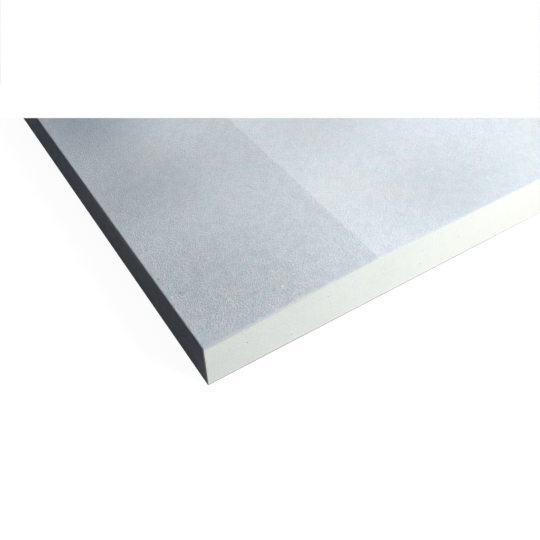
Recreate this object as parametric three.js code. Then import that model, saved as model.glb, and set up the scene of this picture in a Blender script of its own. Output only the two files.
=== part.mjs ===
// A drywall sheet: a cast gypsum core between two sheets of liner paper, lying face up.
//
// The face paper covers the face, is folded round both long edges and turned in on the back.
// The back paper laps over those two flaps and leaves a narrow strip of each bare, flush with itself.
// Along each long edge the face falls away in a shallow taper, which leaves room for the joint tape.
// The two ends are sawn square, so all three pieces show there.
//
// Millimetres. +Z points out of the face, X runs across the sheet and Y along it.
// The origin is the middle of the back, on the plane that the sheet lies on.

import * as THREE from "three";

// Driving dimensions of the sheet, measured over the papers.
const SHEET_WIDTH = 1200;
const SHEET_LENGTH = 2500;
const FIELD_THICKNESS = 12.5;
const EDGE_THICKNESS = 11.7;
const TAPER_WIDTH = 42;

// The papers, and how they lap on the back. Both widths are measured in from the long edge.
const FACE_PAPER_THICKNESS = 0.45;
const BACK_PAPER_THICKNESS = 0.35;
const FLAP_WIDTH = 25;
const BARE_FLAP_WIDTH = 10;

// Rounded places in the section: the core's radius in each fold, and the paper's over the ridge.
const FACE_FOLD_RADIUS = 0.25;
const BACK_FOLD_RADIUS = 0.2;
const TAPER_RIDGE_RADIUS = 40;

// Straight steps in each rounded place.
const FOLD_STEPS = 8;
const RIDGE_STEPS = 4;

const QUARTER_TURN = Math.PI / 2;
const LONG_EDGE_X = SHEET_WIDTH / 2;
const BACK_PAPER_EDGE_X = LONG_EDGE_X - BARE_FLAP_WIDTH;
const FLAP_END_X = LONG_EDGE_X - FLAP_WIDTH;
const FLAP_TOP_Z = BACK_PAPER_THICKNESS + FACE_PAPER_THICKNESS;
const TAPER_ANGLE = Math.atan2(FIELD_THICKNESS - EDGE_THICKNESS, TAPER_WIDTH);

// Points along an arc of the section, in the plane of X and Z, from one angle to the other.
function arc(centre, radius, fromAngle, toAngle, steps) {
  const points = [];
  for (let step = 0; step <= steps; step += 1) {
    const angle = fromAngle + ((toAngle - fromAngle) * step) / steps;
    const x = centre.x + radius * Math.cos(angle);
    const z = centre.y + radius * Math.sin(angle);
    points.push(new THREE.Vector2(x, z));
  }
  return points;
}

// The face paper's section over the right half of the sheet, sunk into it by a depth: from the back, round
// the back fold, up the long edge, round the face fold and up the taper, to the ridge where the face
// levels out. A depth of 0 is the outside of the paper, and its thickness is the side on the core.
function wrap(depth) {
  const backRadius = BACK_FOLD_RADIUS + FACE_PAPER_THICKNESS;
  const backCentre = new THREE.Vector2(LONG_EDGE_X - backRadius, backRadius);
  const backFold = arc(backCentre, backRadius - depth, -QUARTER_TURN, 0, FOLD_STEPS);

  const faceRadius = FACE_FOLD_RADIUS + FACE_PAPER_THICKNESS;
  const taperNormal = QUARTER_TURN - TAPER_ANGLE;
  const belowTaper = faceRadius * (1 / Math.cos(TAPER_ANGLE) - Math.tan(TAPER_ANGLE));
  const faceCentre = new THREE.Vector2(LONG_EDGE_X - faceRadius, EDGE_THICKNESS - belowTaper);
  const faceFold = arc(faceCentre, faceRadius - depth, 0, taperNormal, FOLD_STEPS);

  const ridgeX = LONG_EDGE_X - TAPER_WIDTH - TAPER_RIDGE_RADIUS * Math.tan(TAPER_ANGLE / 2);
  const ridgeCentre = new THREE.Vector2(ridgeX, FIELD_THICKNESS - TAPER_RIDGE_RADIUS);
  const ridge = arc(ridgeCentre, TAPER_RIDGE_RADIUS - depth, taperNormal, QUARTER_TURN, RIDGE_STEPS);

  return [...backFold, ...faceFold, ...ridge];
}

// Closes a half section over the sheet's middle: the right half as given, then its mirror image.
function bothHalves(rightHalf) {
  const leftHalf = rightHalf.map((point) => new THREE.Vector2(-point.x, point.y));
  return [...rightHalf, ...leftHalf.reverse()];
}

// The flap from its end to the step where it comes down to the bare strip, on one side of the paper.
function flap(stepX, lowZ, highZ) {
  return [
    new THREE.Vector2(FLAP_END_X, highZ),
    new THREE.Vector2(stepX, highZ),
    new THREE.Vector2(stepX, lowZ),
  ];
}

// The side of the flap on the core. It is one paper thickness in from the outside, at the step too.
function flapInside() {
  return flap(BACK_PAPER_EDGE_X + FACE_PAPER_THICKNESS, FACE_PAPER_THICKNESS, FLAP_TOP_Z);
}

function coreSection() {
  const flapEnd = new THREE.Vector2(FLAP_END_X, BACK_PAPER_THICKNESS);
  return bothHalves([flapEnd, ...flapInside(), ...wrap(FACE_PAPER_THICKNESS)]);
}

function facePaperSection() {
  const flapOutside = flap(BACK_PAPER_EDGE_X, 0, BACK_PAPER_THICKNESS);
  const outside = bothHalves([...flapOutside, ...wrap(0)]);
  const inside = bothHalves([...flapInside(), ...wrap(FACE_PAPER_THICKNESS)]);
  return [...outside, ...inside.reverse()];
}

function backPaperSection() {
  return bothHalves([
    new THREE.Vector2(BACK_PAPER_EDGE_X, 0),
    new THREE.Vector2(BACK_PAPER_EDGE_X, BACK_PAPER_THICKNESS),
  ]);
}

// A piece with the same section all along the sheet, between the two sawn ends.
function alongSheet(name, section, material) {
  const geometry = new THREE.ExtrudeGeometry(new THREE.Shape(section), {
    depth: SHEET_LENGTH,
    bevelEnabled: false,
  });
  const mesh = new THREE.Mesh(geometry, material);
  mesh.name = name;
  mesh.rotation.x = QUARTER_TURN;
  mesh.position.y = SHEET_LENGTH / 2;
  return mesh;
}

const gypsum = new THREE.MeshStandardMaterial({ color: 0xe9ede7, roughness: 0.95, metalness: 0 });
const faceLiner = new THREE.MeshStandardMaterial({ color: 0xcdd2d9, roughness: 0.85, metalness: 0 });
const backLiner = new THREE.MeshStandardMaterial({ color: 0xbfbfb9, roughness: 0.9, metalness: 0 });

const drywallSheet = new THREE.Group();
drywallSheet.add(alongSheet("gypsum_core", coreSection(), gypsum));
drywallSheet.add(alongSheet("face_paper", facePaperSection(), faceLiner));
drywallSheet.add(alongSheet("back_paper", backPaperSection(), backLiner));

export default drywallSheet;
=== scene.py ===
# A drywall sheet, dressed in the order in which a board plant makes one: the face paper is folded into a
# tray, gypsum is cast in it, the back paper closes it, and the sheet is sawn to length and laid face up.

import math
import random

import bpy
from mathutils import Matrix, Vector


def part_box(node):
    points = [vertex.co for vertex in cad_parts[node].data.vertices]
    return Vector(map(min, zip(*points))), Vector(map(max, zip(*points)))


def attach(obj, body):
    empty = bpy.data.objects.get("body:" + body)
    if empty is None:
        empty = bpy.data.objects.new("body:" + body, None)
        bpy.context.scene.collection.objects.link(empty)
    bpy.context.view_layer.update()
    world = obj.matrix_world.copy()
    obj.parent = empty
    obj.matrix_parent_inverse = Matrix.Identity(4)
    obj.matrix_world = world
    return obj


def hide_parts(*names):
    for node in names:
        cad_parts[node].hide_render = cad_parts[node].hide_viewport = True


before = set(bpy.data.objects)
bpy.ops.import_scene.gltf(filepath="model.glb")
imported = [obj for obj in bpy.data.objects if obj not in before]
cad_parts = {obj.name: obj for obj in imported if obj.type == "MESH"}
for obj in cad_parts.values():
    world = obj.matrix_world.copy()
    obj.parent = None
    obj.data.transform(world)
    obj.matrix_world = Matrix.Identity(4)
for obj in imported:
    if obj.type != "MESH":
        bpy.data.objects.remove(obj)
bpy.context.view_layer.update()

# ---------------------------------------------------------------------------------------------------------
# Face paper
# One sheet of blue-grey liner, made of plies of recycled fibre. It covers the face and both tapers, and is
# folded round the long edges and glued in on the back, where its flaps make room for the back paper. It is
# folded here as one thin skin and then given its thickness.
# ---------------------------------------------------------------------------------------------------------

sheet_low, sheet_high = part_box("face_paper")
_, back_paper_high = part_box("back_paper")
LONG_EDGE_X = sheet_high.x
SAWN_END_Y = sheet_high.y
FACE_Z = sheet_high.z
LAP_X = back_paper_high.x
LAP_STEP = back_paper_high.z

FACE_PAPER_THICKNESS = 0.00045
FLAP_WIDTH = 0.025
TAPER_WIDTH = 0.042
TAPER_DEPTH = 0.0008
FACE_FOLD_RADIUS = 0.0003
BACK_FOLD_RADIUS = 0.0002
FACE_CORE_RADIUS = 0.00025
BACK_CORE_RADIUS = 0.0002
TAPER_RIDGE_RADIUS = 0.04
RUBBED_CORNER = 0.00017
FOLD_STEPS = 5
RIDGE_STEPS = 4
SHARP_FROM = 30
ENDWISE = 0.5
WELD = 1e-6
NEAR = 2e-5

LINER_CYAN = (0.717, 0.838, 0.888)
LINER_LILAC = (0.773, 0.816, 0.886)
LINER_WARM = (0.792, 0.820, 0.820)
LINER_TEAL = (0.620, 0.815, 0.850)
LINER_RUST = (0.840, 0.800, 0.820)
LINER_PALE = (0.950, 0.975, 0.990)
LINER_DARK = (0.400, 0.460, 0.550)
BROAD_SHARE = 0.15
PATCHES_SHARE = 0.6
TINT_SHARE = 0.25
WARMTH_SHARE = 0.6
TEAL_SHARE = 0.55
RUST_SHARE = 0.35
MOTTLE_SHARE = 1.15
GRAIN_SHARE = 0.85
SPECKLE_SHARE = 0.12
STREAK_SHARE = 0.03
PALE_FIBRE_SHARE = 0.35
DARK_FIBRE_SHARE = 0.3
FIBRE_TURN = (0, 0, 0.6)
FIBRE_RELIEF = 0.00002
PALE_SPECK_SHARE = 0.8
DARK_SPECK_SHARE = 0.6
SPECK_PALE = (1.0, 1.0, 1.0)
SPECK_TURN = (0, 0, 1)
TAPER_LINE = (TAPER_WIDTH - 0.0004, TAPER_WIDTH + 0.0006)
# Painted shade: the taper is coloured darker than the field, keeping this share of its light.
TAPER_PAINTED_SHADE = 0.90
FIELD_RELIEF = 0.66
TAPER_RELIEF = 0.94
SCUFFED_RELIEF = 0.40
# A patch has a middle, in metres across and along from the near corner, and a reach from its middle.
SCUFF = ((0.008, 0.008), (0.036, 0.036))
# Darker patches on the face. The three along the long edge are painted shade, deepest furthest from the
# near corner; the two out in the field are plain darker patches.
PAINTED_SHADE_HEAVY = (0.65, 0.70, 0.75)
PLAIN_DARKER_TONE = (0.85, 0.85, 0.85)
PAINTED_SHADE_FAINT = (0.90, 0.90, 0.90)
SHADE_AND_DARK_PATCHES = (
    ((0.01, 0.09), (0.02, 0.04), PAINTED_SHADE_HEAVY),
    ((0.01, 0.05), (0.03, 0.02), PLAIN_DARKER_TONE),
    ((0.01, 0.01), (0.03, 0.03), PAINTED_SHADE_FAINT),
    ((0.06, 0.05), (0.04, 0.03), PLAIN_DARKER_TONE),
    ((0.07, 0.01), (0.03, 0.03), PLAIN_DARKER_TONE),
)
# Painted light on the long edge: paler at its foot by the near corner, and a painted highlight along its
# top, under the face fold.
PAINTED_LIGHT_FOOT = ((0.0, 0.0), (0.012, 0.0065))
PAINTED_LIGHT_FOOT_TOP = (0.003, 0.011)
PAINTED_FOLD_HIGHLIGHT = ((0.0, 0.040), (0.020, 0.038))
PAINTED_FOLD_HIGHLIGHT_FOOT = (0.0085, 0.0105)
SAWN_FUZZ = 0.0006
FUZZ_SHARE = 0.45
# The pale fuzz loses this share in the painted shade round the near corner.
FUZZ_LOST_IN_SHADE = 0.25
FLECK_SHARE = 0.85
FLECK_REACH = (0.0004, 0.0004)
FLECK_DARK = (0.250, 0.280, 0.330)
FLECK_PALE = (1.0, 1.0, 1.0)
FLECKS = (
    ((0.001, 0.021), FLECK_DARK),
    ((0.003, 0.015), FLECK_DARK),
    ((0.019, 0.005), FLECK_DARK),
    ((0.001, 0.015), FLECK_PALE),
    ((0.001, 0.005), FLECK_PALE),
    ((0.021, 0.005), FLECK_PALE),
)
CUT_FACE = (0.785, 0.825, 0.805)
CUT_SIDE = (0.865, 0.905, 0.840)
CUT_SIDE_PLY = (0.600, 0.630, 0.600)
CUT_FLAP = (0.785, 0.815, 0.755)
CUT_OUTER_PLY = (0.400, 0.420, 0.430)
OUTER_PLY = 0.00025
OUTER_PLY_LINE = (0.8 * OUTER_PLY, 1.2 * OUTER_PLY)
PLY_DARKEST = 0.9
PLY_CONTRAST = 0.2
# Painted light: a pale, warm patch on the near sawn end, to the right of the near corner.
PAINTED_LIGHT_PATCH = ((0.105, 0.0), (0.055, 0.055))
PAINTED_LIGHT_COLOUR = (0.925, 0.919, 0.868)
PAPER_PAINTED_LIGHT_SHARE = 0.8
CORNER = (0, 0)
# Painted shade round the near corner, bluish grey, on the face paper's sawn edge and on its pale fuzz.
CORNER_SHADE_REACH = (0.046, 0.046)
CORNER_PAINTED_SHADE = (0.715, 0.730, 0.775)


class Value:
    """A number, colour or vector that varies over a surface. Arithmetic on it adds Math nodes."""

    def __init__(self, nodes, socket):
        self.nodes = nodes
        self.socket = socket

    def maths(self, operation, *inputs):
        return self.nodes.node("ShaderNodeMath", {"operation": operation}, dict(enumerate(inputs)))

    def __add__(self, other):
        return self.maths("ADD", self, other)

    def __radd__(self, other):
        return self.maths("ADD", other, self)

    def __sub__(self, other):
        return self.maths("SUBTRACT", self, other)

    def __rsub__(self, other):
        return self.maths("SUBTRACT", other, self)

    def __mul__(self, other):
        return self.maths("MULTIPLY", self, other)

    def __rmul__(self, other):
        return self.maths("MULTIPLY", other, self)

    def __abs__(self):
        return self.maths("ABSOLUTE", self)


class Nodes:
    """A node tree, added to one node at a time."""

    def __init__(self, owner):
        owner.use_nodes = True
        self.tree = owner.node_tree

    def node(self, kind, settings, sockets, output=0):
        made = self.tree.nodes.new(kind)
        for setting, value in settings.items():
            setattr(made, setting, value)
        for name, value in sockets.items():
            if isinstance(value, Value):
                self.tree.links.new(value.socket, made.inputs[name])
            else:
                made.inputs[name].default_value = value
        return None if output is None else Value(self, made.outputs[output])


class Finish(Nodes):
    """The material of one surface. Its places are in metres, in the sheet's own frame."""

    def __init__(self, name, roughness, specular):
        self.material = bpy.data.materials.new(name)
        super().__init__(self.material)
        self.shader = self.tree.nodes["Principled BSDF"]
        self.shader.inputs["Roughness"].default_value = roughness
        self.shader.inputs["Specular IOR Level"].default_value = specular

    def place(self, turn=(0, 0, 0), stretch=(1, 1, 1)):
        here = self.node("ShaderNodeTexCoord", {}, {}, "Object")
        return self.node("ShaderNodeMapping", {}, {"Vector": here, "Rotation": turn, "Scale": stretch})

    def along(self, axis):
        return self.node("ShaderNodeSeparateXYZ", {}, {"Vector": self.place()}, axis)

    def noise(self, place, scale, detail=1.0, distortion=0.0):
        sockets = {"Vector": place, "Scale": scale, "Detail": detail, "Distortion": distortion}
        return self.node("ShaderNodeTexNoise", {}, sockets)

    def rise(self, value, low, high, curve="SMOOTHSTEP"):
        """0 below low and 1 above high."""
        sockets = {"Value": value, "From Min": low, "From Max": high}
        return self.node("ShaderNodeMapRange", {"interpolation_type": curve}, sockets)

    def clouds(self, place, scale):
        """Soft patches that cover half of the surface."""
        return self.rise(self.noise(place, scale), low=0.35, high=0.65)

    def plies(self):
        """The uneven layers that a saw lays bare in the edge of a paper."""
        return self.noise(self.place(stretch=(1, 1, 4)), scale=1500.0)

    def show_cut(self, cut, plies):
        """Colours the sawn edge of a paper, ply by ply."""
        self.colour(self.tone(cut, PLY_DARKEST + PLY_CONTRAST * plies))

    def patch(self, middle, reach):
        """A soft oval patch, 1 at its middle, which lies that far from the near corner."""
        settings = {"vector_type": "TEXTURE"}
        centre = (sheet_low.x + middle[0], sheet_low.y + middle[1], 0)
        sockets = {"Vector": self.place(), "Location": centre, "Scale": (*reach, 1)}
        away = self.node("ShaderNodeMapping", settings, sockets)
        distance = self.node("ShaderNodeVectorMath", {"operation": "LENGTH"}, {0: away}, 1)
        return 1 - self.rise(distance, 0.0, 1.0)

    def strands(self, place, scale, curl, width):
        """Curly threads, 1 along their middles: the places where a twisted noise is at its mean."""
        twisted = self.noise(place, scale, distortion=curl)
        return 1 - self.rise(abs(twisted - 0.5), 0.0, width)

    def specks(self, place, spacing, size):
        """Scattered dots of uneven size, 1 at their middles, one for each square of that spacing."""
        settings = {"voronoi_dimensions": "2D"}
        sockets = {"Vector": place, "Scale": 1 / spacing}
        distance = self.node("ShaderNodeTexVoronoi", settings, sockets)
        cell = self.node("ShaderNodeTexVoronoi", settings, sockets, "Color")
        share = self.node("ShaderNodeSeparateColor", {}, {"Color": cell})
        return 1 - self.rise(distance, 0.0, share * (size / spacing))

    def blend(self, share, first, second, way="MIX"):
        colours = [c if isinstance(c, Value) else (*c, 1.0) for c in (first, second)]
        settings = {"data_type": "RGBA", "blend_type": way}
        return self.node("ShaderNodeMix", settings, {0: share, 6: colours[0], 7: colours[1]}, 2)

    def tone(self, colour, share):
        """The colour, with that share of its light."""
        return self.node("ShaderNodeVectorMath", {"operation": "SCALE"}, {0: colour, "Scale": share})

    def darkening(self, share, colour, darkening):
        """The colour, darkened by a second colour, as painted shade or a plain darker patch: that share of
        the light goes through both.
        """
        return self.blend(share, colour, darkening, "MULTIPLY")

    def colour(self, value):
        self.tree.links.new(value.socket, self.shader.inputs["Base Color"])

    def relief(self, height, depth):
        bump = self.node("ShaderNodeBump", {}, {"Height": height, "Distance": depth})
        self.tree.links.new(bump.socket, self.shader.inputs["Normal"])


def select_only(piece):
    bpy.ops.object.select_all(action="DESELECT")
    piece.select_set(True)
    bpy.context.view_layer.objects.active = piece


def add_plane(name, size, location):
    bpy.ops.object.select_all(action="DESELECT")
    bpy.ops.mesh.primitive_plane_add(size=size, location=location)
    plane = bpy.context.object
    plane.name = name
    return plane


def stretch_to(piece, across, along):
    """Gives a plane of unit size its width and length."""
    piece.scale = (across, along, 1)
    bpy.ops.object.transform_apply(location=True, rotation=True, scale=True)


def apply_modifier(piece, kind, settings):
    select_only(piece)
    modifier = piece.modifiers.new(kind.lower(), kind)
    for setting, value in settings.items():
        setattr(modifier, setting, value)
    bpy.ops.object.modifier_apply(modifier=modifier.name)


def fold_on(across, up):
    """Carries the selected edge of the paper straight on."""
    bpy.ops.mesh.extrude_region_move(TRANSFORM_OT_translate={"value": (across, 0, up)})


def fold_round(centre_x, centre_z, angle, steps):
    """Carries the selected edge of the paper round a fold."""
    bpy.ops.mesh.spin(steps=steps, angle=angle, center=(centre_x, 0, centre_z), axis=(0, 1, 0))


def round_creases(piece, from_middle, low, high, radius):
    """Rounds a sharp lengthwise crease on both sides of a piece."""
    select_only(piece)
    bpy.ops.object.mode_set(mode="EDIT")
    bpy.ops.mesh.select_mode(type="EDGE")
    bpy.ops.mesh.select_all(action="DESELECT")
    bpy.ops.object.mode_set(mode="OBJECT")
    for edge in piece.data.edges:
        ends = [piece.data.vertices[i].co for i in edge.vertices]
        lengthwise = abs(ends[0].y - ends[1].y) > SAWN_END_Y
        edge.select = lengthwise and all(
            abs(abs(end.x) - from_middle) < NEAR and low < end.z + NEAR < high for end in ends
        )
    bpy.ops.object.mode_set(mode="EDIT")
    bpy.ops.mesh.bevel(offset=radius, segments=FOLD_STEPS, affect="EDGES")
    bpy.ops.object.mode_set(mode="OBJECT")


def is_sawn(face):
    """Whether a face lies on a sawn end or on one of its rubbed corners."""
    return abs(face.normal.y) > ENDWISE


def finish_paper(piece, outside, pulp):
    """Gives a paper one finish outside, and another on its sawn ends and on the side glued to the core."""
    piece.data.materials.clear()
    piece.data.materials.append(outside.material)
    piece.data.materials.append(pulp.material)
    for face in piece.data.polygons:
        outward = face.center - Vector((0, face.center.y, FACE_Z / 2))
        shows_pulp = is_sawn(face) or face.normal.dot(outward) < 0
        face.material_index = 1 if shows_pulp else 0


def dress(piece, node):
    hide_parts(node)
    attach(piece, "root")


flap_end_x = LONG_EDGE_X - FLAP_WIDTH
face_paper = add_plane("folded_face_paper", 1, ((flap_end_x + LAP_X) / 2, 0, LAP_STEP))
stretch_to(face_paper, LAP_X - flap_end_x, 2 * SAWN_END_Y)
for edge in face_paper.data.edges:
    edge.select = all(abs(face_paper.data.vertices[i].co.x - LAP_X) < WELD for i in edge.vertices)
for vertex in face_paper.data.vertices:
    vertex.select = abs(vertex.co.x - LAP_X) < WELD
face_paper.data.polygons[0].select = False
bpy.ops.object.mode_set(mode="EDIT")
bpy.ops.mesh.select_mode(type="EDGE")

taper_angle = math.atan2(TAPER_DEPTH, TAPER_WIDTH)
long_edge_z = FACE_Z - TAPER_DEPTH
ridge_tangent = TAPER_RIDGE_RADIUS * math.tan(taper_angle / 2)
ridge_start_x = LONG_EDGE_X - TAPER_WIDTH + ridge_tangent * math.cos(taper_angle)
ridge_start_z = FACE_Z - TAPER_RIDGE_RADIUS * (1 - math.cos(taper_angle))
ridge_x = LONG_EDGE_X - TAPER_WIDTH - ridge_tangent
fold_on(0, -LAP_STEP)
fold_on(LONG_EDGE_X - LAP_X, 0)
fold_on(0, long_edge_z)
fold_on(ridge_start_x - LONG_EDGE_X, ridge_start_z - long_edge_z)
fold_round(ridge_x, FACE_Z - TAPER_RIDGE_RADIUS, taper_angle, RIDGE_STEPS)
fold_on(-ridge_x, 0)
bpy.ops.mesh.select_all(action="SELECT")
bpy.ops.mesh.remove_doubles(threshold=WELD)
bpy.ops.object.mode_set(mode="OBJECT")
apply_modifier(face_paper, "MIRROR", {"use_axis": (True, False, False), "merge_threshold": WELD})
bpy.ops.object.mode_set(mode="EDIT")
bpy.ops.mesh.select_all(action="SELECT")
bpy.ops.mesh.normals_make_consistent(inside=False)
bpy.ops.object.mode_set(mode="OBJECT")
solid = {"thickness": FACE_PAPER_THICKNESS, "offset": -1, "use_even_offset": True}
apply_modifier(face_paper, "SOLIDIFY", solid)

inner_x = LONG_EDGE_X - FACE_PAPER_THICKNESS
inner_z = long_edge_z - FACE_PAPER_THICKNESS
round_creases(face_paper, LONG_EDGE_X, 0, long_edge_z / 2, BACK_FOLD_RADIUS)
round_creases(face_paper, LONG_EDGE_X, long_edge_z / 2, FACE_Z, FACE_FOLD_RADIUS)
round_creases(face_paper, inner_x, 0, inner_z / 2, BACK_CORE_RADIUS)
round_creases(face_paper, inner_x, inner_z / 2, FACE_Z, FACE_CORE_RADIUS)
select_only(face_paper)
bpy.ops.object.mode_set(mode="EDIT")
for side in (-1, 1):
    for end in (-1, 1):
        corner = (side * (LONG_EDGE_X - RUBBED_CORNER), end * SAWN_END_Y, 0)
        bpy.ops.mesh.select_all(action="SELECT")
        bpy.ops.mesh.bisect(plane_co=corner, plane_no=(side, end, 0), use_fill=True, clear_outer=True)
bpy.ops.object.mode_set(mode="OBJECT")
face_paper.data.set_sharp_from_angle(angle=math.radians(SHARP_FROM))
fold_tilt = math.sin(2 * taper_angle)
for face in face_paper.data.polygons:
    in_a_fold = abs(face.normal.x) > fold_tilt and abs(face.normal.z) > fold_tilt
    face.use_smooth = in_a_fold and not is_sawn(face)

face_liner = Finish("face_liner", roughness=0.9, specular=0.2)
place = face_liner.place()
turned = face_liner.place(turn=FIBRE_TURN)
streaks = face_liner.clouds(face_liner.place(stretch=(1, 0.03, 1)), scale=70.0)
broad = face_liner.clouds(place, scale=9.0)
patches = face_liner.clouds(place, scale=160.0)
warmth = face_liner.rise(face_liner.noise(place, scale=60.0), low=0.5, high=0.75)
teal = face_liner.clouds(place, scale=330.0)
rust = face_liner.clouds(turned, scale=260.0)
tint = face_liner.clouds(place, scale=1000.0)
mottle = face_liner.clouds(place, scale=420.0)
grain = face_liner.clouds(place, scale=3000.0)
pale_fibre = face_liner.strands(place, scale=750.0, curl=2.2, width=0.09)
dark_fibre = face_liner.strands(turned, scale=850.0, curl=2.4, width=0.08)
pale_specks = face_liner.specks(place, spacing=0.012, size=0.0004)
dark_specks = face_liner.specks(face_liner.place(turn=SPECK_TURN), spacing=0.008, size=0.0003)

lilac = BROAD_SHARE * broad + PATCHES_SHARE * patches + TINT_SHARE * tint
liner = face_liner.blend(lilac, LINER_CYAN, LINER_LILAC)
liner = face_liner.blend(warmth * WARMTH_SHARE, liner, LINER_WARM)
from_edge = LONG_EDGE_X - abs(face_liner.along("X"))
in_taper = 1 - face_liner.rise(from_edge, *TAPER_LINE)
scuffed = face_liner.patch(*SCUFF)
rough = FIELD_RELIEF + in_taper * (TAPER_RELIEF - FIELD_RELIEF) + scuffed * SCUFFED_RELIEF
liner = face_liner.blend(scuffed * teal * TEAL_SHARE, liner, LINER_TEAL)
liner = face_liner.blend(scuffed * rust * RUST_SHARE, liner, LINER_RUST)
speckle = (mottle * MOTTLE_SHARE + grain * GRAIN_SHARE) * rough * SPECKLE_SHARE
liner = face_liner.blend(speckle + streaks * STREAK_SHARE, liner, LINER_DARK)
liner = face_liner.blend(pale_fibre * rough * PALE_FIBRE_SHARE, liner, LINER_PALE)
liner = face_liner.blend(dark_fibre * rough * DARK_FIBRE_SHARE, liner, LINER_DARK)
liner = face_liner.blend(pale_specks * PALE_SPECK_SHARE, liner, SPECK_PALE)
liner = face_liner.blend(dark_specks * DARK_SPECK_SHARE, liner, LINER_DARK)
# Painted shade: the taper is coloured darker than the field.
liner = face_liner.tone(liner, 1 - in_taper * (1 - TAPER_PAINTED_SHADE))
# Painted shade along the long edge, and plain darker patches out in the field.
for middle, reach, darkening in SHADE_AND_DARK_PATCHES:
    liner = face_liner.darkening(face_liner.patch(middle, reach), liner, darkening)
height = face_liner.along("Z")
on_edge = 1 - face_liner.rise(from_edge, 0.0, FACE_FOLD_RADIUS)
# Painted light: the long edge is coloured paler at its foot by the near corner, and along its top as a
# painted highlight.
painted_light_foot = face_liner.patch(*PAINTED_LIGHT_FOOT) * (1 - face_liner.rise(height, *PAINTED_LIGHT_FOOT_TOP))
painted_fold_highlight = face_liner.patch(*PAINTED_FOLD_HIGHLIGHT) * face_liner.rise(height, *PAINTED_FOLD_HIGHLIGHT_FOOT)
liner = face_liner.blend((painted_light_foot + painted_fold_highlight) * on_edge, liner, LINER_PALE)
fuzz = 1 - face_liner.rise(SAWN_END_Y - abs(face_liner.along("Y")), 0.0, SAWN_FUZZ)
# Painted shade: the pale fuzz is dimmed round the near corner.
in_corner_shade = face_liner.patch(CORNER, CORNER_SHADE_REACH)
liner = face_liner.blend(fuzz * (FUZZ_SHARE - in_corner_shade * FUZZ_LOST_IN_SHADE), liner, LINER_PALE)
for middle, fleck in FLECKS:
    liner = face_liner.blend(face_liner.patch(middle, FLECK_REACH) * FLECK_SHARE, liner, fleck)
face_liner.colour(liner)
face_liner.relief(pale_fibre - dark_fibre + grain, FIBRE_RELIEF)

face_cut = Finish("face_liner_cut", roughness=0.95, specular=0.15)
height = face_cut.along("Z")
plies = face_cut.plies()
from_edge = LONG_EDGE_X - abs(face_cut.along("X"))
in_side = 1 - face_cut.rise(from_edge, OUTER_PLY, FACE_PAPER_THICKNESS)
over_flap = face_cut.rise(height, LAP_STEP + FACE_PAPER_THICKNESS, 2 * LAP_STEP + FACE_PAPER_THICKNESS)
from_outside = height.maths("MINIMUM", height, from_edge)
inside_outer_ply = face_cut.rise(from_outside, *OUTER_PLY_LINE)
# Painted shade: the sawn edge of the face paper is darkened round the near corner.
in_corner_shade = face_cut.patch(CORNER, CORNER_SHADE_REACH)
cut = face_cut.blend(over_flap, CUT_FLAP, face_cut.darkening(in_corner_shade, CUT_FACE, CORNER_PAINTED_SHADE))
cut = face_cut.blend(in_side, cut, CUT_SIDE)
outer_ply = face_cut.blend(in_side, CUT_OUTER_PLY, CUT_SIDE_PLY)
cut = face_cut.blend(inside_outer_ply, outer_ply, cut)
# Painted light: the sawn edge is paler and warmer to the right of the near corner.
cut = face_cut.blend(face_cut.patch(*PAINTED_LIGHT_PATCH) * PAPER_PAINTED_LIGHT_SHARE, cut, PAINTED_LIGHT_COLOUR)
face_cut.show_cut(cut, plies)

finish_paper(face_paper, face_liner, face_cut)
dress(face_paper, "face_paper")

# ---------------------------------------------------------------------------------------------------------
# Gypsum core
# Foamed gypsum, cast between the papers and set. The saw has cut through its air bubbles, so both ends are
# pitted, and has worn the soft core back a little behind the papers.
# ---------------------------------------------------------------------------------------------------------

SAW_WEAR = 0.00003
SAW_STROKE = 0.04
FLAT_WITHIN = 0.1
PIT_SEED = 11
PITS_PER_END = 160
PIT_RADII = (0.10, 0.17)
PIT_SPACING = 0.0007
PIT_MARGIN = 0.0004
PIT_FREE_REACH = 0.09
# Places on the near sawn end, in millimetres from the near corner and up from the floor.
NEAR_PITS = (
    (5.5, 7.5), (8.5, 10.5), (9.5, 7.0), (20.0, 2.5), (22.0, 7.0), (25.0, 10.5),
    (29.0, 8.5), (43.5, 7.0), (54.5, 4.0), (54.5, 8.0), (61.0, 2.0), (65.5, 6.5),
)
NEAR_PIT_RADIUS = 0.15
MILLIMETRE = 0.001

GYPSUM_CREAM = (0.886, 0.935, 0.851)
GYPSUM_COOL = (0.872, 0.914, 0.867)
GYPSUM_DAMP = (0.816, 0.855, 0.784)
GYPSUM_PIT = (0.480, 0.500, 0.460)
DAMP_SHARE = 0.25
GRIT_SHARE = 0.10
# Extra grit in the painted shade round the near corner.
SHADED_GRIT_SHARE = 0.06
GRIT_RELIEF = 0.1
# Painted shade: the tiny pin holes are coloured dark, as shade in them.
PIN_HOLE_SHADE = 0.4
PIN_HOLE_DEPTH = 0.00002
PIT_SHADE = (0.00002, 0.0001)
# Painted shade on the sawn core round the near corner: darker and bluer.
CORE_SHADE_REACH = (0.082, 0.082)
CORE_PAINTED_SHADE = (0.898, 0.892, 0.912)
BACK_TONE = 1.03
FACE_TONE = 0.97
# Painted shadow: a grey band on the sawn core just under the face paper, fading away from the near corner.
SHADE_UNDER_FACE_REACH = (0.032, 0.032)
SHADE_UNDER_FACE_DEPTH = 0.00068
SHADE_UNDER_FACE_FADE = 0.0002
SHADE_UNDER_FACE = (0.570, 0.625, 0.620)

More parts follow.
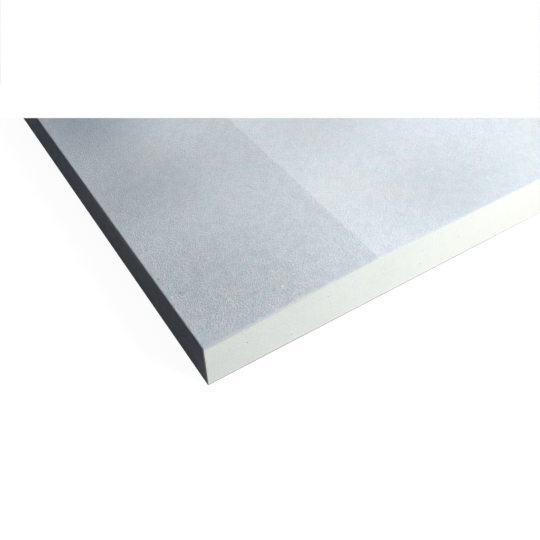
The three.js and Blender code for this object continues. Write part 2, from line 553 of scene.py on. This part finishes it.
core_low, core_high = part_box("gypsum_core")
core = bpy.data.objects.new("sawn_gypsum_core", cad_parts["gypsum_core"].data.copy())
bpy.context.scene.collection.objects.link(core)
for vertex in core.data.vertices:
    vertex.co.y -= math.copysign(SAW_WEAR, vertex.co.y)
select_only(core)
bpy.ops.object.mode_set(mode="EDIT")
bpy.ops.mesh.select_all(action="SELECT")
bpy.ops.mesh.remove_doubles(threshold=WELD)
bpy.ops.mesh.dissolve_limited(angle_limit=math.radians(FLAT_WITHIN))
saw_lines = int(2 * core_high.x / SAW_STROKE)
for line in range(1, saw_lines):
    bpy.ops.mesh.select_all(action="SELECT")
    bpy.ops.mesh.bisect(plane_co=(core_low.x + line * SAW_STROKE, 0, 0), plane_no=(1, 0, 0))
bpy.ops.object.mode_set(mode="OBJECT")

random.seed(PIT_SEED)
near_end = core_low.y + SAW_WEAR
pits = [(sheet_low.x + x * MILLIMETRE, near_end, z * MILLIMETRE, NEAR_PIT_RADIUS) for x, z in NEAR_PITS]
for end in (near_end, core_high.y - SAW_WEAR):
    for _ in range(PITS_PER_END):
        x = random.uniform(core_low.x + PIT_MARGIN, core_high.x - PIT_MARGIN)
        z = random.uniform(core_low.z + 2 * PIT_MARGIN, core_high.z - TAPER_DEPTH - 2 * PIT_MARGIN)
        clear = all(math.dist((x, end, z), pit[:3]) > PIT_SPACING for pit in pits)
        if clear and (end > 0 or x > core_low.x + PIT_FREE_REACH):
            pits.append((x, end, z, random.uniform(*PIT_RADII)))
balls = []
for x, end, z, radius in pits:
    bpy.ops.mesh.primitive_ico_sphere_add(subdivisions=2, radius=radius * MILLIMETRE, location=(x, end, z))
    balls.append(bpy.context.object)
bpy.ops.object.select_all(action="DESELECT")
for ball in balls:
    ball.select_set(True)
bpy.context.view_layer.objects.active = balls[0]
bpy.ops.object.join()
bubbles = balls[0]
apply_modifier(core, "BOOLEAN", {"operation": "DIFFERENCE", "object": bubbles, "solver": "EXACT"})
bpy.data.objects.remove(bubbles)

gypsum = Finish("gypsum", roughness=0.95, specular=0.15)
place = gypsum.place()
damp = gypsum.rise(gypsum.noise(place, scale=110.0), low=0.4, high=0.75)
marl = gypsum.clouds(place, scale=550.0)
grit = gypsum.clouds(place, scale=2400.0)
pin_holes = gypsum.specks(gypsum.place(turn=(math.pi / 2, 0, 0)), spacing=0.0012, size=0.0001)
# Painted shade: the core is coloured darker, bluer and grittier round the near corner.
core_in_shade = gypsum.patch(CORNER, CORE_SHADE_REACH)
plaster = gypsum.blend(marl, GYPSUM_CREAM, GYPSUM_COOL)
plaster = gypsum.blend(damp * DAMP_SHARE, plaster, GYPSUM_DAMP)
plaster = gypsum.blend(grit * (GRIT_SHARE + core_in_shade * SHADED_GRIT_SHARE), plaster, GYPSUM_PIT)
# Painted shade in the pin holes; the bump below gives them their depth.
plaster = gypsum.blend(pin_holes * PIN_HOLE_SHADE, plaster, GYPSUM_PIT)
plaster = gypsum.darkening(core_in_shade, plaster, CORE_PAINTED_SHADE)
# Painted light: the core is paler and warmer to the right of the near corner.
plaster = gypsum.blend(gypsum.patch(*PAINTED_LIGHT_PATCH), plaster, PAINTED_LIGHT_COLOUR)
height = gypsum.along("Z")
up = gypsum.rise(height, 0.0, FACE_Z, "LINEAR")
plaster = gypsum.tone(plaster, BACK_TONE - up * (BACK_TONE - FACE_TONE))
from_edge = LONG_EDGE_X - abs(gypsum.along("X"))
# Painted shadow: a grey band on the core just under the face paper, near the corner.
below_face = long_edge_z + from_edge * (TAPER_DEPTH / TAPER_WIDTH) - height
under_face_shadow = 1 - gypsum.rise(below_face, SHADE_UNDER_FACE_DEPTH, SHADE_UNDER_FACE_DEPTH + SHADE_UNDER_FACE_FADE)
plaster = gypsum.blend(under_face_shadow * gypsum.patch(CORNER, SHADE_UNDER_FACE_REACH), plaster, SHADE_UNDER_FACE)
behind_cut = SAWN_END_Y - SAW_WEAR - abs(gypsum.along("Y"))
in_pit = gypsum.rise(behind_cut, *PIT_SHADE)
gypsum.colour(gypsum.blend(in_pit, plaster, GYPSUM_PIT))
gypsum.relief(grit * GRIT_RELIEF - pin_holes, PIN_HOLE_DEPTH)
core.data.materials.clear()
core.data.materials.append(gypsum.material)
dress(core, "gypsum_core")

# ---------------------------------------------------------------------------------------------------------
# Back paper
# The second liner, plain grey and coarser than the face. It is laid on the wet core last, trimmed narrower
# than the sheet, and laps over the flaps of the face paper.
# ---------------------------------------------------------------------------------------------------------

BACK_GREY = (0.520, 0.530, 0.510)
BACK_PALE = (0.640, 0.645, 0.620)
BACK_BROWN = (0.430, 0.420, 0.390)
BACK_FIBRE_SHARE = 0.35
BACK_SPECK_SHARE = 0.6
BACK_RELIEF = 0.00003
# Share of the painted light, to the right of the near corner, on the back paper's sawn edge.
BACK_PAPER_PAINTED_LIGHT_SHARE = 0.65

back_paper = add_plane("lapped_back_paper", 1, (0, 0, 0))
stretch_to(back_paper, 2 * LAP_X, 2 * SAWN_END_Y)
bpy.ops.object.mode_set(mode="EDIT")
bpy.ops.mesh.select_all(action="SELECT")
bpy.ops.mesh.flip_normals()
bpy.ops.object.mode_set(mode="OBJECT")
apply_modifier(back_paper, "SOLIDIFY", {"thickness": LAP_STEP, "offset": -1})

back_liner = Finish("back_liner", roughness=0.95, specular=0.15)
place = back_liner.place()
pulp = back_liner.noise(place, scale=60.0, detail=3.0)
coarse_fibre = back_liner.strands(place, scale=700.0, curl=1.4, width=0.07)
brown_specks = back_liner.specks(place, spacing=0.006, size=0.0005)
liner = back_liner.blend(pulp, BACK_GREY, BACK_PALE)
liner = back_liner.blend(coarse_fibre * BACK_FIBRE_SHARE, liner, BACK_PALE)
liner = back_liner.blend(brown_specks * BACK_SPECK_SHARE, liner, BACK_BROWN)
back_liner.colour(liner)
back_liner.relief(coarse_fibre, BACK_RELIEF)

back_cut = Finish("back_liner_cut", roughness=0.95, specular=0.15)
plies = back_cut.plies()
inside_outer_ply = back_cut.rise(back_cut.along("Z"), *OUTER_PLY_LINE)
cut = back_cut.blend(inside_outer_ply, CUT_OUTER_PLY, CUT_FLAP)
# Painted light: the sawn edge is paler to the right of the near corner.
cut = back_cut.blend(back_cut.patch(*PAINTED_LIGHT_PATCH) * BACK_PAPER_PAINTED_LIGHT_SHARE, cut, PAINTED_LIGHT_COLOUR)
back_cut.show_cut(cut, plies)

finish_paper(back_paper, back_liner, back_cut)
dress(back_paper, "back_paper")

# ---------------------------------------------------------------------------------------------------------
# Floor and daylight
# A level white floor, on which the sheet lies flat on its back paper. The camera sees floor and sky white,
# with a faint shadow, and the light that they pass on to the sheet is weak, so its long edge stays dark.
# ---------------------------------------------------------------------------------------------------------

FLOOR_SIZE = 60.0
FLOOR_GLOW = 0.96
FLOOR_SEEN = (0.12, 0.12, 0.12, 1.0)
FLOOR_PASSED_ON = (0.058, 0.0565, 0.069, 1.0)
SKY_SEEN = (1.0, 1.0, 1.0, 1.0)
SKY_PASSED_ON = (0.795, 0.80, 0.985, 1.0)
SKY_STRENGTH = 0.056
SEEN_BY = ("Camera", "Glossy", "Transmission")


def seen_or_passed_on(nodes, seen, passed_on):
    """One shader for what the camera sees, itself, in a gloss or through glass, and one for other light."""
    rays = [nodes.node("ShaderNodeLightPath", {}, {}, "Is " + kind + " Ray") for kind in SEEN_BY]
    share = rays[0].maths("MAXIMUM", rays[0], rays[1])
    share = share.maths("MAXIMUM", share, rays[2])
    return nodes.node("ShaderNodeMixShader", {}, {0: share, 1: passed_on, 2: seen})


floor = add_plane("floor", FLOOR_SIZE, (0, 0, 0))
floor_white = bpy.data.materials.new("floor_white")
nodes = Nodes(floor_white)
nodes.tree.nodes.clear()
glow = nodes.node("ShaderNodeEmission", {}, {"Color": SKY_SEEN, "Strength": FLOOR_GLOW})
lit = nodes.node("ShaderNodeBsdfDiffuse", {}, {"Color": FLOOR_SEEN})
dark = nodes.node("ShaderNodeBsdfDiffuse", {}, {"Color": FLOOR_PASSED_ON})
white = nodes.node("ShaderNodeAddShader", {}, {0: glow, 1: lit})
surface = seen_or_passed_on(nodes, white, dark)
nodes.node("ShaderNodeOutputMaterial", {}, {"Surface": surface}, None)
floor.data.materials.append(floor_white)

world = bpy.data.worlds.new("daylight")
bpy.context.scene.world = world
nodes = Nodes(world)
nodes.tree.nodes.clear()
white = nodes.node("ShaderNodeBackground", {}, {"Color": SKY_SEEN, "Strength": 1.0})
weak = nodes.node("ShaderNodeBackground", {}, {"Color": SKY_PASSED_ON, "Strength": SKY_STRENGTH})
surface = seen_or_passed_on(nodes, white, weak)
nodes.node("ShaderNodeOutputWorld", {}, {"Surface": surface}, None)

# ---------------------------------------------------------------------------------------------------------
# Lamps
# A wide soft box over the sheet, whose edge falls just inside the near corner; a low light along the floor,
# which rakes the taper and the sawn end; and a small lamp that brings the near corner out.
# ---------------------------------------------------------------------------------------------------------

BOX_LOW = (0.012, 0.002, 0.091)
BOX_HIGH = (1.5, 2.8, 0.091)
BOX_LEVEL = 0.93
BOX_COLOUR = (1.0, 0.97, 0.93)
RAKE = (0.7, -0.20, 0.06)
RAKE_ANGLE = 5.0
LAMP_PLACE = (0.081, -0.128, 0.113)
LAMP_LEVEL = 0.0302
LAMP_RADIUS = 0.02

near_corner = Vector((sheet_low.x, sheet_low.y, 0))


def add_light(name, kind, energy, place, settings):
    """A light that the camera doesn't see."""
    data = bpy.data.lights.new(name, kind)
    data.energy = energy
    for setting, value in settings.items():
        setattr(data, setting, value)
    light = bpy.data.objects.new(name, data)
    bpy.context.scene.collection.objects.link(light)
    light.location = near_corner + place
    light.visible_camera = False
    return light


box_size = Vector(BOX_HIGH) - Vector(BOX_LOW)
box_shape = {"shape": "RECTANGLE", "size": box_size.x, "size_y": box_size.y, "color": BOX_COLOUR}
box_energy = math.pi * box_size.x * box_size.y * BOX_LEVEL
add_light("overhead_box", "AREA", box_energy, (Vector(BOX_LOW) + Vector(BOX_HIGH)) / 2, box_shape)
rake = Vector(RAKE)
rake_light = add_light("rake", "SUN", math.pi * rake.length, rake, {"angle": math.radians(RAKE_ANGLE)})
rake_light.rotation_mode = "QUATERNION"
rake_light.rotation_quaternion = rake.to_track_quat("Z", "Y")
lamp_energy = 4 * math.pi ** 2 * LAMP_LEVEL
add_light("near_lamp", "POINT", lamp_energy, Vector(LAMP_PLACE), {"shadow_soft_size": LAMP_RADIUS})

# ---------------------------------------------------------------------------------------------------------
# Camera
# It looks down on the near corner. A small white card just in front of it hides what lies beyond the crop
# line, as the sheet goes on far past the corner that is shown.
# ---------------------------------------------------------------------------------------------------------

CAMERA_FROM_CORNER = (-0.02955, -0.07398, 0.11191)
CAMERA_TURN = (44.574, 1.209, -32.415)
CAMERA_LENS = 45.20
SENSOR_WIDTH = 36.0
IMAGE_SIDE = 540
CROP_LINE_Y = 118
CARD_DISTANCE = 0.002

camera_data = bpy.data.cameras.new("camera")
camera_data.sensor_width = SENSOR_WIDTH
camera_data.lens = CAMERA_LENS
camera_data.clip_start = CARD_DISTANCE / 4
camera = bpy.data.objects.new("camera", camera_data)
bpy.context.scene.collection.objects.link(camera)
camera.location = near_corner + Vector(CAMERA_FROM_CORNER)
camera.rotation_euler = [math.radians(turn) for turn in CAMERA_TURN]
bpy.context.scene.camera = camera
bpy.context.scene.view_settings.view_transform = "Standard"
bpy.context.view_layer.update()

pixel = CARD_DISTANCE * SENSOR_WIDTH / CAMERA_LENS / IMAGE_SIDE
card_side = IMAGE_SIDE * pixel
card_middle = (IMAGE_SIDE / 2 - CROP_LINE_Y) * pixel + card_side / 2
card = add_plane("crop_card", card_side, (0, card_middle, -CARD_DISTANCE))
card.matrix_world = camera.matrix_world @ card.matrix_world
select_only(card)
bpy.ops.object.transform_apply(location=True, rotation=True, scale=True)
for ray in ("diffuse", "glossy", "transmission", "shadow", "volume_scatter"):
    setattr(card, "visible_" + ray, False)
card_white = bpy.data.materials.new("card_white")
nodes = Nodes(card_white)
nodes.tree.nodes.clear()
surface = nodes.node("ShaderNodeEmission", {}, {"Color": SKY_SEEN, "Strength": 1.0})
nodes.node("ShaderNodeOutputMaterial", {}, {"Surface": surface}, None)
card.data.materials.append(card_white)
